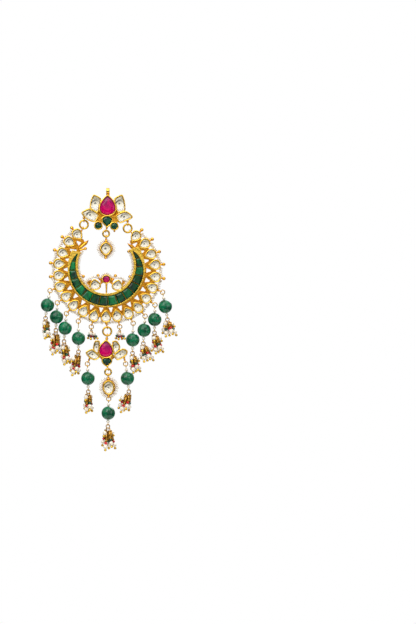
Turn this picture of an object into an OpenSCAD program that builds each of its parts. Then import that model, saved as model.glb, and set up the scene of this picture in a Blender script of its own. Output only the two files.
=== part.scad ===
// Chandbali earring: a top lotus, a crescent with a fan of stones, and a pendant.
// Flat work is drawn face up (x right, y up, depth towards the viewer) and then stood upright.

/* [Metal] */
// Thickness of the back plate of every setting
plate_t = 1.0; // [0.8:0.1:1.3]
// Height of the low bezels above the rear face
bezel_h = 2.2; // [2.0:0.1:2.5]
// Height of the two ruby bezels above the rear face
ruby_bezel_h = 2.7; // [2.5:0.1:3.0]
// Thickness of a bezel wall
bezel_wall = 0.4; // [0.3:0.05:0.5]
// Depth of the plane that rings and wires hang in, from the rear face
mid = 1.2; // [1.1:0.05:1.3]

/* [Stones] */
// Gap between a stone and its bezel
stone_gap = 0.06; // [0.04:0.01:0.1]
// Height of a low stone's table above the rear face
stone_top = 2.5; // [2.3:0.1:2.8]
// Height of a ruby's table above the rear face
ruby_top = 3.5; // [3.2:0.1:3.8]

/* [Crescent] */
// Radius of the green channel's outer edge
channel_r = 16.9; // [16.7:0.1:17.1]
// Radius of the green channel's inner edge
channel_in_r = 13.6; // [13.4:0.1:13.8]
// Radius of the crescent's inner edge
inner_r = 12.6; // [12.4:0.1:12.8]
// Number of stones in the channel
channel_count = 16; // [12:1:18]
// Length of a fan stone
fan_len = 4.7; // [4.4:0.1:4.9]
// Width of a fan stone
fan_w = 3.9; // [3.6:0.1:4.0]
// Radius of the ball on the end of a prong
prong_r = 0.6; // [0.5:0.05:0.65]

/* [Links] */
// Middle radius of the two rings that carry the crescent
side_ring_r = 1.85; // [1.8:0.05:1.9]
// Middle radius of the pendant's ring
pendant_ring_r = 1.9; // [1.85:0.05:1.95]
// Wire radius of these three rings
ring_wire = 0.35; // [0.3:0.01:0.36]
// Middle radius of the loops that hold them
loop_r = 0.72; // [0.7:0.01:0.76]
// Wire radius of those loops
loop_wire = 0.25; // [0.22:0.01:0.26]
// Middle radius of a small jump ring
jump_r = 1.0; // [0.95:0.05:1.0]
// Wire radius of a small jump ring
jump_wire = 0.2; // [0.18:0.01:0.21]
// Middle radius of an eye on a bead's wire
eye_r = 0.5; // [0.5:0.01:0.55]
// Wire radius of a bead's wire
pin_wire = 0.18; // [0.16:0.01:0.19]

/* [Beads] */
// Radius of a green bead
bead_r = 3.05; // [2.9:0.05:3.05]
// Radius of the small pearl above and below it
pearl_r = 0.72; // [0.65:0.01:0.73]
// Radius of a bead's drilled hole
hole_r = 0.28; // [0.25:0.01:0.3]

/* [Ear] */
// Radius of the ear post
post_r = 0.45; // [0.4:0.05:0.5]
// Length of the ear post behind the back plate
post_len = 10; // [8:0.5:11]
// Bore radius of the band loop on top
band_bore_r = 0.95; // [0.8:0.05:1]
// Length of the band loop's bore
band_w = 1.4; // [1.2:0.1:1.6]

/* [Hidden] */
$fn = 48;

gold = "goldenrod";
clear = "gainsboro";
green = "darkgreen";
ruby = "mediumvioletred";

// Places on the drawing, x and y in millimetres from the ear post
side_ring_left = [-10.64, -8.4];
side_ring_right = [9.0, -10.1];
mid_ring_at = [-0.7, -12.5];
mid_stone_at = [-0.7, -19.3];
pendant_ring_at = [-0.2, -56.4];
lower_ring_at = [0.2, -74.65];
halo_at = [0.5, -81.6];
crescent_c = [-0.54, -28.1];
channel_in_c = [-0.77, -26.8];
small_ring_r = 1.4;
small_ring_wire = 0.33;

// Corners of the petals, anticlockwise
lotus_petal_corners = [
    [[-6.3, 5.05], [-8.0, -1.05], [-4.3, -3.15], [-2.85, 3.25]],
    [[2.95, 3.2], [4.5, -3.15], [7.95, -2.2], [6.7, 5.05]],
    [[-8.2, -1.2], [-11.8, -3.15], [-9.45, -6.1], [-5.65, -7.35], [-3.8, -4.2]],
    [[8.4, -2.4], [3.8, -4.3], [5.2, -7.8], [8.35, -6.7], [11.5, -5.05]]
];
pendant_petal_corners = [
    [[-5.6, -60.6], [-6.5, -65.0], [-4.1, -66.8], [-3.55, -60.6]],
    [[2.25, -60.75], [2.7, -66.7], [5.2, -65.2], [5.6, -63.0], [4.1, -60.6]],
    [[-7.0, -64.3], [-10.0, -65.9], [-7.4, -68.8], [-5.3, -69.3], [-3.4, -67.9]],
    [[2.7, -67.2], [4.4, -69.4], [8.6, -67.0], [9.0, -65.2], [7.0, -64.0]]
];

// Fan stones: turn in degrees from straight down, reach from the crescent's centre
fan_chart = [
    [-139.5, 19.9], [-125.5, 20.3], [-109.5, 20.6], [-95.5, 21.1], [-81.5, 21.3],
    [-68.5, 22.0], [-55.0, 21.7], [-41.5, 21.9], [-28.0, 21.6], [-14.5, 21.9],
    [-0.5, 21.6], [12.8, 21.7], [26.0, 22.2], [39.0, 22.4], [53.0, 22.1],
    [67.0, 22.2], [80.0, 22.1], [94.0, 21.7], [107.5, 20.8], [122.5, 20.3], [137.5, 19.4]
];
first_drop = 5;
last_drop = 15;
pendant_stone = 10;
inner_left_stone = 9;
inner_right_stone = 11;
fan_web = 0.5;
prong_neck_r = 0.44;
ring_out = 5.2;
prong_out = 3.9;

// Beads of the crescent: fan stone it hangs from, bead x, bead y
bead_chart = [
    [5, -27.0, -44.6], [6, -22.95, -49.9], [7, -19.1, -54.95], [8, -13.1, -59.5],
    [15, 25.9, -45.2], [14, 21.15, -51.0], [13, 16.4, -55.85], [12, 11.3, -60.2]
];
// Beads of the pendant: ring x, ring y, bead x, bead y
pendant_bead_chart = [
    [-9.05, -71.0, -8.85, -77.5], [8.1, -71.0, 8.9, -77.5], [0.5, -86.7, 0.3, -93.1]
];
// Tassels: left edge, right edge, lowest point
tassel_chart = [
    [-29.4, -25.3, -60.2], [-26.6, -20.6, -67.4], [-20.9, -16.1, -71.9], [-17.6, -12.4, -76.7],
    [23.8, 31.9, -59.3], [19.9, 25.9, -66.9], [14.3, 21.6, -70.6], [9.9, 15.6, -75.6]
];
inner_tassel_chart = [[-9.8, -3.4, -60.3], [2.7, 8.8, -60.4]];
pendant_tassel_chart = [[-11.2, -6.2, -93.5], [3.9, 10.3, -93.2], [-3.3, 4.3, -110.3]];

// Dangles of a tassel: side, depth and length as shares, and its kind: 0 has a pearl alone,
// 1 has a tube, a seed bead and a pearl, 2 has a small pearl above a seed bead
dangle_chart = [
    [-1, -0.35, 0.84, 1], [-0.5, 1.0, 1.0, 1], [0.0, -1.0, 0.93, 1],
    [0.5, 0.9, 0.86, 1], [1, -0.25, 0.96, 1], [-0.78, 0.75, 0.42, 0], [0.76, -1.1, 0.4, 0]
];
inner_dangle_chart = [[-1, -0.35, 0.95, 2], [-0.35, 1.0, 1.0, 2], [0.35, -1.0, 0.97, 2], [1, 0.3, 0.98, 2]];
dangle_depth = 1.5;
strand_r = 0.12;
tube_r = 0.5;
tube_share = 0.72;
seed_r = 0.62;
dangle_pearl_r = 0.8;
end_ball_r = 0.45;
small_pearl_r = 0.62;
head_r = 0.8;
inner_head_r = 0.4;
head_wire = 0.2;
head_spread = 62;

// Points
function turned(a, r) = [r * sin(a), -r * cos(a)];
function fan_point(i, out) = crescent_c + turned(fan_chart[i][0], fan_chart[i][1] + out);
function unit(v) = v / norm(v);
function out_normal(a, b) = unit([b.y - a.y, a.x - b.x]);

// An outline moved inwards by d, or outwards where d is negative
function inset(p, d) = [
    for (i = [0:len(p) - 1])
        let (
            before = p[(i + len(p) - 1) % len(p)],
            after = p[(i + 1) % len(p)],
            n1 = out_normal(before, p[i]),
            n2 = out_normal(p[i], after)
        )
        p[i] - (n1 + n2) * d / max(1 + n1 * n2, 0.5)
];

// A polygon's sides bowed outwards by a share of their length
function bowed(corners, bow = 0.07, steps = 4) = [
    for (i = [0:len(corners) - 1])
        for (k = [0:steps - 1])
            let (
                a = corners[i],
                b = corners[(i + 1) % len(corners)],
                t = (k + 0.35) / (steps - 0.3)
            )
            a * (1 - t) + b * t + out_normal(a, b) * norm(b - a) * bow * 4 * t * (1 - t)
];

// A drop outline with its point up, centred on its middle height
drop_fill = 0.803;
function drop_width(t) = sin(t) * pow(sin(t / 2), 0.8) / drop_fill;
function drop(l, w, count = 20) = [
    for (k = [0:count - 1])
        let (t = 360 * k / count)
        [-w / 2 * drop_width(t), l / 2 * cos(t)]
];
function round_outline(r, count = 16) = [for (k = [0:count - 1]) r * [cos(360 * k / count), sin(360 * k / count)]];
function diamond(r, count = 24) = [
    for (k = [0:count - 1])
        let (a = 360 * k / count)
        r * (1 + 0.06 * cos(4 * a)) * [cos(a), sin(a)]
];
function placed(p, at, turn = 0) = [
    for (q = p) at + [q.x * cos(turn) - q.y * sin(turn), q.x * sin(turn) + q.y * cos(turn)]
];
function centre(p) = [for (k = [0:1]) (max([for (q = p) q[k]]) + min([for (q = p) q[k]])) / 2];

lotus_ruby_outline = placed(drop(8.7, 7.1), [0.05, 0.05]);
lotus_leaf_outline = placed(drop(4.5, 4.3), [-0.2, -7.0], 180);
cab_left_at = [-4.15, -8.9];
cab_right_at = [3.05, -9.15];
cab_r = 1.5;
pendant_ruby_outline = placed(drop(7.3, 6.1), [-0.7, -64.3]);
pendant_leaf_outline = placed(drop(3.6, 4.0), [-0.3, -70.05], 180);
halo_outline = placed([for (p = round_outline(2.3, 24)) [p.x * 0.95, p.y * 1.2]], halo_at);
mid_outline = placed([for (p = diamond(2.2)) [p.x * 0.95, p.y * 1.1]], mid_stone_at);
arch_left_outline = placed(drop(4.3, 4.2), [-5.6, -35.4], 12);
arch_right_outline = placed(drop(4.3, 4.2), [4.5, -35.7], -12);
arch_ruby_at = [-0.54, -33.0];
arch_ruby_r = 1.6;
function fan_outline(i) = placed(drop(fan_len, fan_w, 16), fan_point(i, 0), fan_chart[i][0]);

// Basic solids, all drawn in the flat drawing
module upright() {
    rotate([90, 0, 0])
        children();
}

module slab(outline, low, high) {
    translate([0, 0, low])
        linear_extrude(high - low)
            polygon(outline);
}

module ball(at, r) {
    translate([at.x, at.y, mid])
        sphere(r);
}

// A straight rod between two points of the middle plane
module rod(from, to, r) {
    d = to - from;
    translate([from.x, from.y, mid])
        rotate([0, 90, atan2(d.y, d.x)])
            cylinder(h = norm(d), r = r);
}

module torus(r, wire) {
    rotate_extrude()
        translate([r, 0])
            circle(wire);
}

// A ring seen face on
module face_ring(at, r, wire) {
    translate([at.x, at.y, mid])
        torus(r, wire);
}

// A ring seen edge on, standing in the plane of the direction a
module edge_ring(at, r, wire, a = 90) {
    translate([at.x, at.y, mid])
        rotate([90, 0, a])
            torus(r, wire);
}

// A cut stone: straight girdle, sloped crown and a flat table
module cut_stone(outline, high, table_share = 0.62) {
    body = inset(outline, stone_gap);
    c = centre(body);
    n = len(body);
    low = plate_t + stone_gap;
    girdle = low + (high - low) * 0.55;
    points = concat(
        [for (p = body) [p.x, p.y, low]],
        [for (p = body) [p.x, p.y, girdle]],
        [for (p = body) [c.x + (p.x - c.x) * table_share, c.y + (p.y - c.y) * table_share, high]]
    );
    faces = concat(
        [[for (i = [0:n - 1]) i]],
        [for (ring = [0:1]) for (i = [0:n - 1])
            let (j = (i + 1) % n)
            [ring * n + i, ring * n + n + i, ring * n + n + j, ring * n + j]],
        [[for (i = [n - 1:-1:0]) 2 * n + i]]
    );
    polyhedron(points, faces);
}

// A round stone with a domed top
module cabochon(at, r, high) {
    low = plate_t + stone_gap;
    edge = low + 0.9;
    rise = high - edge;
    dome_r = (r * r + rise * rise) / (2 * rise);
    intersection() {
        translate([at.x, at.y, low])
            cylinder(h = high - low, r = r - stone_gap);
        translate([at.x, at.y, high - dome_r])
            sphere(dome_r);
    }
}

// Bezels of several stones: a plate under all of them and a wall around each
module settings(outlines, wall_h) {
    linear_extrude(plate_t)
        union() {
            for (p = outlines)
                polygon(inset(p, -bezel_wall));
        }
    linear_extrude(wall_h)
        difference() {
            union() {
                for (p = outlines)
                    polygon(inset(p, -bezel_wall));
            }
            union() {
                for (p = outlines)
                    polygon(p);
            }
        }
}

module pockets(outlines) {
    for (p = outlines)
        slab(p, plate_t, 4);
}

function petal_outline(corners) = inset(bowed(corners), bezel_wall);

// A loop that holds a ring's wire, with the stem that joins it to the metal at foot.
// A long stem carries a small ball.
module hanger(at, foot) {
    a = atan2(foot.y - at.y, foot.x - at.x);
    edge_ring(at, loop_r, loop_wire, a);
    rod(at + loop_r * [cos(a), sin(a)], foot, loop_wire + 0.08);
    if (norm(foot - at) > 1.8)
        ball(at + 1.3 * [cos(a), sin(a)], 0.5);
}

// Top lotus
module lotus_frame() {
    petals = [for (c = lotus_petal_corners) petal_outline(c)];
    cabs = [placed(round_outline(cab_r), cab_left_at), placed(round_outline(cab_r), cab_right_at)];
    lows = concat(petals, [lotus_leaf_outline], cabs);
    leaf_tip = [-0.2, -9.2];
    color(gold) upright() {
        difference() {
            union() {
                settings(lows, bezel_h);
                settings([lotus_ruby_outline], ruby_bezel_h);
                lotus_bridges();
                hanger(side_ring_left + [0, side_ring_r], [-10.64, -4.2]);
                hanger(side_ring_right + [0, side_ring_r], [9.0, -6.0]);
                hanger(mid_ring_at + [0, small_ring_r], leaf_tip);
                ball(cab_right_at - [0, 2.2], 0.45);
                band_loop();
            }
            pockets(concat(lows, [lotus_ruby_outline]));
        }
    }
}

// Gold between the ruby, the petals and the two round stones
module lotus_bridges() {
    slab([[-4.9, -5.0], [5.1, -5.2], [4.7, -2.6], [2.9, 2.4], [-2.9, 2.4], [-4.7, -2.6]], 0, 0.9);
    slab([[-5.6, -6.6], [-4.6, -8.0], [-1.4, -7.2], [-1.6, -4.6], [-3.6, -4.4]], 0, 1.6);
    slab([[3.4, -4.4], [1.4, -4.6], [1.0, -7.4], [3.6, -8.2], [4.9, -6.9]], 0, 1.6);
}

module band_loop() {
    top = [0.1, 6.6];
    difference() {
        union() {
            translate([top.x - band_w / 2, top.y, mid])
                rotate([0, 90, 0])
                    cylinder(h = band_w, r = band_bore_r + 0.4);
            translate([top.x - band_w / 2, 4.0, mid - 1.1])
                cube([band_w, 1.9, 1.6]);
        }
        translate([top.x - band_w / 2 - 1, top.y, mid])
            rotate([0, 90, 0])
                cylinder(h = band_w + 2, r = band_bore_r);
    }
}

module ear_post() {
    color("silver") rotate([-90, 0, 0]) {
        translate([0, 0, 0.05])
            cylinder(h = 0.5, r = 1.6);
        translate([0, 0, 0.05])
            cylinder(h = post_len, r = post_r);
    }
}

module lotus_ruby() {
    color(ruby) upright() cut_stone(lotus_ruby_outline, ruby_top);
}

module lotus_petals() {
    color(clear) upright() {
        for (c = lotus_petal_corners)
            cut_stone(petal_outline(c), stone_top, 0.7);
    }
}

module lotus_leaf() {
    color(green) upright() cut_stone(lotus_leaf_outline, stone_top + 0.1);
}

module lotus_cab_left() {
    color(green) upright() cabochon(cab_left_at, cab_r, 3.0);
}

module lotus_cab_right() {
    color(green) upright() cabochon(cab_right_at, cab_r, 3.0);
}

module mid_ring() {
    color(gold) upright() face_ring(mid_ring_at, small_ring_r, small_ring_wire);
}

// The bezel with a flat flange that carries its seed pearls
module haloed_setting(outline, top_at, top_foot, flange) {
    linear_extrude(0.7)
        polygon(inset(outline, -flange));
    settings([outline], bezel_h);
    hanger(top_at, top_foot);
}

module mid_frame() {
    color(gold) upright() {
        haloed_setting(mid_outline, mid_ring_at - [0, small_ring_r], [-0.7, -16.6], 0.85);
        ball([-0.8, -22.45], 0.55);
        ball([-0.9, -23.35], 0.55);
    }
}

module mid_stone() {
    color(clear) upright() cut_stone(mid_outline, stone_top);
}

// Crescent
function inner_reach(a) =
    let (
        u = turned(a, 1),
        d = crescent_c - channel_in_c,
        along = u * d
    )
    -along + sqrt(along * along - d * d + channel_in_r * channel_in_r);
channel_from = -117;
channel_to = 123;
channel_step = (channel_to - channel_from) / channel_count;
function channel_taper(k) =
    let (near = min(k, channel_count - k))
    near == 0 ? 0.16 : near == 1 ? 0.66 : near == 2 ? 0.92 : 1;
function channel_in(k) = crescent_c + turned(channel_from + k * channel_step, inner_reach(channel_from + k * channel_step));
function channel_out(k) =
    let (
        a = channel_from + k * channel_step,
        low = inner_reach(a)
    )
    crescent_c + turned(a, low + (channel_r - low) * channel_taper(k));
function channel_bulge(k) =
    let (middle = (channel_out(k) + channel_out(k + 1)) / 2)
    middle + unit(middle - crescent_c) * channel_r * (1 - cos(channel_step / 2));
function channel_outline(k) = [
    channel_out(k), channel_bulge(k), channel_out(k + 1),
    channel_in(k + 1), channel_in(k + 0.5), channel_in(k)
];
channel_floor = concat(
    [for (k = [0:channel_count - 1]) for (p = [channel_out(k), channel_bulge(k)]) p],
    [channel_out(channel_count)],
    [for (k = [channel_count:-1:0]) channel_in(k)]
);

function fan_reach(t) =
    let (i = min(floor(t), len(fan_chart) - 2), s = t - i)
    fan_chart[i][1] * (1 - s) + fan_chart[i + 1][1] * s;
function fan_turn(t) =
    let (i = min(floor(t), len(fan_chart) - 2), s = t - i)
    fan_chart[i][0] * (1 - s) + fan_chart[i + 1][0] * s;
function fan_line(out, from = 0, to = 20) = [
    for (t = [from:0.5:to]) crescent_c + turned(fan_turn(t), fan_reach(t) + out)
];
// The plate's inner edge runs under the rim of the channel
function fan_foot() = [
    for (t = [0:0.5:20]) crescent_c + turned(fan_turn(t), min(plate_foot_r, fan_reach(t) - 3.9))
];
function reversed(p) = [for (i = [len(p) - 1:-1:0]) p[i]];

// Gold between two fan stones, cut through beside the rim
function piercing(i) =
    let (
        a = (fan_chart[i][0] + fan_chart[i + 1][0]) / 2,
        r = (fan_chart[i][1] + fan_chart[i + 1][1]) / 2 - 3.0
    )
    [
        crescent_c + turned(a - 3.3, r - 0.95),
        crescent_c + turned(a + 3.3, r - 0.95),
        crescent_c + turned(a + 0.8, r + 1.05),
        crescent_c + turned(a - 0.8, r + 1.05)
    ];

rim_out_r = channel_r + 0.5;
plate_foot_r = rim_out_r - 0.2;
inner_c = [-0.8, -26.8];
rim_from = -118;
rim_to = 124;
rim_step = 5.5;
function rim_ring(c, r) = [for (a = [rim_from:rim_step:rim_to]) c + turned(a, r)];

module crescent_plate() {
    linear_extrude(1.5)
        difference() {
            union() {
                polygon(concat(fan_line(fan_web), reversed(fan_foot())));
                polygon(concat(rim_ring(crescent_c, rim_out_r), reversed(rim_ring(inner_c, inner_r))));
                horns();
                for (i = [0:len(fan_chart) - 1])
                    polygon(inset(fan_outline(i), -bezel_wall));
            }
            union() {
                for (i = [0:len(fan_chart) - 2])
                    polygon(piercing(i));
            }
        }
}

// The two blades at the ends of the crescent
module horns() {
    polygon([[-14.6, -21.6], [-13.2, -18.2], [-11.4, -16.6], [-8.6, -15.4], [-9.3, -17.2], [-12.2, -19.4], [-12.6, -21.6]]);
    polygon([[-15.9, -18.6], [-13.4, -14.6], [-10.9, -15.0], [-10.4, -16.4], [-12.6, -20.6]]);
    polygon([[11.6, -20.6], [10.0, -18.6], [8.8, -16.7], [10.4, -17.4], [12.4, -19.0], [13.4, -21.0]]);
    polygon([[11.2, -19.4], [9.9, -15.6], [12.6, -15.2], [15.6, -19.4], [13.2, -21.4]]);
}

module crescent_walls() {
    linear_extrude(bezel_h)
        difference() {
            union() {
                for (i = [0:len(fan_chart) - 1])
                    polygon(inset(fan_outline(i), -bezel_wall));
            }
            union() {
                for (i = [0:len(fan_chart) - 1])
                    polygon(fan_outline(i));
            }
        }
}

module channel_walls() {
    linear_extrude(bezel_h)
        difference() {
            union() {
                polygon(concat(rim_ring(crescent_c, rim_out_r), reversed(rim_ring(inner_c, inner_r))));
            }
            union() {
                polygon(channel_floor);
                for (i = [0:len(fan_chart) - 1])
                    polygon(inset(fan_outline(i), -bezel_wall));
            }
        }
}

// The low arch inside the crescent, with two drop stones and a round one
module arch_metal() {
    difference() {
        union() {
            settings([arch_left_outline, arch_right_outline], bezel_h);
            linear_extrude(bezel_h)
                difference() {
                    polygon(placed(round_outline(arch_ruby_r + bezel_wall), arch_ruby_at));
                    polygon(placed(round_outline(arch_ruby_r), arch_ruby_at));
                }
            linear_extrude(plate_t)
                polygon(placed(round_outline(arch_ruby_r + bezel_wall), arch_ruby_at));
            slab([[-10.0, -35.2], [-8.6, -33.6], [-7.2, -33.0], [-7.6, -36.4], [-5.6, -38.6]], 0, 1.5);
            slab([[6.6, -33.2], [8.0, -34.0], [9.0, -35.2], [4.6, -38.6], [6.2, -36.4]], 0, 1.5);
            slab([[-3.4, -32.8], [-1.8, -31.6], [-1.8, -34.4], [-3.2, -35.4]], 0, 1.5);
            slab([[0.8, -34.4], [0.8, -31.6], [2.4, -32.8], [2.2, -35.6]], 0, 1.5);
            slab([[-1.0, -34.6], [-0.8, -39.4], [-0.3, -39.4], [-0.1, -34.6]], 0, 1.8);
        }
        slab(arch_left_outline, plate_t, 4);
        slab(arch_right_outline, plate_t, 4);
        slab(placed(round_outline(arch_ruby_r), arch_ruby_at), plate_t, 4);
    }
}

// Prongs around the fan and the small ones inside the crescent
module prongs() {
    for (i = [0:len(fan_chart) - 1]) {
        hung = i >= first_drop && i <= last_drop;
        if (!hung) {
            rod(fan_point(i, 2.4), fan_point(i, prong_out), prong_neck_r);
            ball(fan_point(i, prong_out + 0.2), prong_r);
        }
        if (hung && i != pendant_stone) {
            rod(fan_point(i, 2.4), fan_point(i, ring_out - jump_r - eye_r), prong_neck_r);
            edge_ring(fan_point(i, ring_out - jump_r), eye_r + 0.05, jump_wire, fan_chart[i][0] - 90);
        }
    }
    // Inner prongs: foot x, foot y, tip x, tip y
    inner_prongs = [
        [-12.6, -31.0, -10.9, -31.7], [11.3, -31.0, 10.0, -31.9], [-12.4, -19.9, -10.0, -19.2],
        [10.5, -20.5, 9.5, -20.5], [-3.4, -33.4, -4.3, -31.3], [2.2, -33.4, 3.5, -31.4]
    ];
    for (p = inner_prongs) {
        rod([p[0], p[1]], [p[2], p[3]], prong_neck_r);
        ball([p[2], p[3]], prong_r);
    }
}

module crescent_frame() {
    color(gold) upright() {
        difference() {
            crescent_plate();
            slab(channel_floor, plate_t, 4);
            for (i = [0:len(fan_chart) - 1])
                slab(fan_outline(i), plate_t, 4);
        }
        crescent_walls();
        channel_walls();
        arch_metal();
        prongs();
        hanger(side_ring_left + turned(-20, side_ring_r), fan_point(0, 0) + [1.67, 1.43]);
        hanger(side_ring_right + turned(41.4, side_ring_r), fan_point(20, 0) + [-1.62, 1.49]);
        hanger(pendant_ring_at + [0, pendant_ring_r], [-0.6, -52.4]);
    }
}

module fan_stones() {
    color(clear) upright() {
        for (i = [0:len(fan_chart) - 1])
            cut_stone(fan_outline(i), stone_top);
    }
}

module channel_stones() {
    color(green) upright() {
        for (k = [0:channel_count - 1])
            cut_stone(inset(channel_outline(k), 0.02), stone_top, 0.72);
    }
}

module arch_stone_left() {
    color(clear) upright() cut_stone(arch_left_outline, stone_top);
}

module arch_stone_right() {
    color(clear) upright() cut_stone(arch_right_outline, stone_top);
}

module arch_ruby() {
    color(ruby) upright() cut_stone(placed(round_outline(arch_ruby_r), arch_ruby_at), stone_top + 0.2);
}

module ring_left() {
    color(gold) upright() face_ring(side_ring_left, side_ring_r, ring_wire);
}

module ring_right() {
    color(gold) upright() face_ring(side_ring_right, side_ring_r, ring_wire);
}

// Hung beads. A drop is its ring's centre and its bead's centre.
function crescent_drop(k) = [
    fan_point(bead_chart[k][0], ring_out), [bead_chart[k][1], bead_chart[k][2]]
];
function pendant_drop(k) = [
    [pendant_bead_chart[k][0], pendant_bead_chart[k][1]],
    [pendant_bead_chart[k][2], pendant_bead_chart[k][3]]
];
function drop_dir(d) = unit(d[1] - d[0]);
function top_eye(d) = d[0] + drop_dir(d) * jump_r;
function pearl_off() = bead_r + pearl_r + 0.03;
function low_eye(d) = d[1] + drop_dir(d) * (pearl_off() + pearl_r + eye_r + 0.12);

module drilled(at, r, d) {
    difference() {
        ball(at, r);
        rod(at - drop_dir(d) * (r + 1), at + drop_dir(d) * (r + 1), hole_r);
    }
}

module drop_bead(d) {
    color(green) upright() drilled(d[1], bead_r, d);
}

module drop_pair(d) {
    drilled(d[1] - drop_dir(d) * pearl_off(), pearl_r, d);
    drilled(d[1] + drop_dir(d) * pearl_off(), pearl_r, d);
}

module drop_wire(d) {
    v = drop_dir(d);
    a = atan2(v.y, v.x);
    edge_ring(top_eye(d), eye_r, pin_wire, a);
    rod(top_eye(d) + v * eye_r, low_eye(d) - v * eye_r, pin_wire - 0.04);
    edge_ring(low_eye(d), eye_r, pin_wire, a);
}

// Half of a bead's outline on a dangle, from its upper to its lower side
function bulge(at, r) = [for (a = [15:30:165]) [max(r * sin(a), strand_r), at - r * cos(a)]];

// A dangle's outline from its top, at height 0, to its end ball
function dangle_profile(l, kind) =
    let (
        ball_at = l - end_ball_r,
        pearl_at = ball_at - end_ball_r * 0.9 - dangle_pearl_r,
        seed_at = (kind == 2 ? ball_at - end_ball_r * 0.9 : pearl_at - dangle_pearl_r) - seed_r * 0.85,
        small_at = seed_at - seed_r * 0.85 - small_pearl_r,
        tube_end = seed_at - seed_r * 0.9,
        tube_top = tube_end * (1 - tube_share)
    )
    concat(
        [[0, 0], [strand_r, 0]],
        kind == 2 ? bulge(small_at, small_pearl_r) : [],
        kind != 1 ? [] : [[strand_r, tube_top], [tube_r, tube_top], [tube_r, tube_end], [strand_r, tube_end]],
        kind == 0 ? [] : bulge(seed_at, seed_r),
        kind == 2 ? [] : bulge(pearl_at, dangle_pearl_r),
        bulge(ball_at, end_ball_r),
        [[0, l]]
    );

module dangle(from, to, kind) {
    d = to - from;
    translate(from)
        rotate([0, acos(d.z / norm(d)), atan2(d.y, d.x)])
            rotate_extrude()
                polygon(dangle_profile(norm(d), kind));
}

// Tassel: a head ring through an eye, with dangles spread on its lower side
module tassel(eye, chart_row, dangles = dangle_chart, ring_r = head_r) {
    head = eye - [0, ring_r];
    middle = (chart_row[0] + chart_row[1]) / 2;
    half = (chart_row[1] - chart_row[0]) / 2 - dangle_pearl_r;
    drop_len = head.y - ring_r - chart_row[2];
    color("peru") upright() {
        face_ring(head, ring_r, head_wire);
        for (row = dangles) {
            on_ring = head + turned(head_spread * row[0], ring_r);
            dangle(
                [on_ring.x, on_ring.y, mid],
                [middle + row[0] * half, on_ring.y - row[2] * drop_len, mid + row[1] * dangle_depth],
                row[3]
            );
        }
    }
}

module crescent_bead(k) {
    drop_bead(crescent_drop(k));
}

module crescent_tassel(k) {
    tassel(low_eye(crescent_drop(k)), tassel_chart[k]);
}

module bead_l1() crescent_bead(0);
module bead_l2() crescent_bead(1);
module bead_l3() crescent_bead(2);
module bead_l4() crescent_bead(3);
module bead_r1() crescent_bead(4);
module bead_r2() crescent_bead(5);
module bead_r3() crescent_bead(6);
module bead_r4() crescent_bead(7);
module tassel_l1() crescent_tassel(0);
module tassel_l2() crescent_tassel(1);
module tassel_l3() crescent_tassel(2);
module tassel_l4() crescent_tassel(3);
module tassel_r1() crescent_tassel(4);
module tassel_r2() crescent_tassel(5);
module tassel_r3() crescent_tassel(6);
module tassel_r4() crescent_tassel(7);

module drop_rings() {
    color(gold) upright() {
        for (i = [first_drop:last_drop])
            if (i != pendant_stone)
                face_ring(fan_point(i, ring_out), jump_r, jump_wire);
    }
}

module drop_wires() {
    color(gold) upright() {
        for (k = [0:len(bead_chart) - 1])
            drop_wire(crescent_drop(k));
    }
}

module drop_pearls() {
    color("ivory") upright() {
        for (k = [0:len(bead_chart) - 1])
            drop_pair(crescent_drop(k));
    }
}

// The two tassels beside the pendant hang straight from their rings
module inner_tassel(i, row) {
    ring_at = fan_point(i, ring_out);
    eye = ring_at - [0, jump_r + 0.05];
    color("peru") upright() edge_ring(eye, eye_r, pin_wire, 90);
    tassel(eye - [0, eye_r - 0.1], row, inner_dangle_chart, inner_head_r);
}

module tassel_inner_left() {
    inner_tassel(inner_left_stone, inner_tassel_chart[0]);
}

module tassel_inner_right() {
    inner_tassel(inner_right_stone, inner_tassel_chart[1]);
}

// Pendant
module pendant_ring() {
    color(gold) upright() face_ring(pendant_ring_at, pendant_ring_r, ring_wire);
}

module pendant_frame() {
    lows = concat([for (c = pendant_petal_corners) petal_outline(c)], [pendant_leaf_outline]);
    side_left = pendant_drop(0)[0];
    side_right = pendant_drop(1)[0];
    color(gold) upright() {
        difference() {
            union() {
                settings(lows, bezel_h);
                settings([pendant_ruby_outline], ruby_bezel_h);
                slab([[-1.7, -61.6], [0.3, -61.6], [-0.1, -59.5], [-0.7, -59.5]], 0.5, 1.9);
                slab([[-3.9, -67.6], [-2.4, -69.6], [-1.8, -67.0], [-3.2, -66.0]], 0, 1.6);
                slab([[1.4, -66.8], [1.6, -69.4], [3.0, -68.4], [2.4, -66.2]], 0, 1.6);
                hanger(pendant_ring_at - [0, pendant_ring_r], [-0.4, -60.2]);
                side_hanger(side_left, [-7.9, -68.0]);
                side_hanger(side_right, [7.2, -67.4]);
                hanger(lower_ring_at + [0, small_ring_r], [-0.2, -71.9]);
            }
            pockets(concat(lows, [pendant_ruby_outline]));
        }
    }
}

module side_hanger(ring_at, foot) {
    v = unit(foot - ring_at);
    at = ring_at + v * jump_r;
    edge_ring(at, eye_r + 0.05, jump_wire, atan2(v.y, v.x));
    rod(at + v * eye_r, foot, 0.4);
}

module pendant_ruby() {
    color(ruby) upright() cut_stone(pendant_ruby_outline, ruby_top);
}

module pendant_petals() {
    color(clear) upright() {
        for (c = pendant_petal_corners)
            cut_stone(petal_outline(c), stone_top, 0.7);
    }
}

module pendant_leaf() {
    color(green) upright() cut_stone(pendant_leaf_outline, stone_top + 0.1);
}

module lower_ring() {
    color(gold) upright() face_ring(lower_ring_at, small_ring_r, small_ring_wire);
}

module halo_frame() {
    color(gold) upright() {
        haloed_setting(halo_outline, lower_ring_at - [0, small_ring_r], [0.4, -78.65], 0.9);
        side_hanger(pendant_drop(2)[0], halo_at - [0, 2.9]);
    }
}

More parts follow.
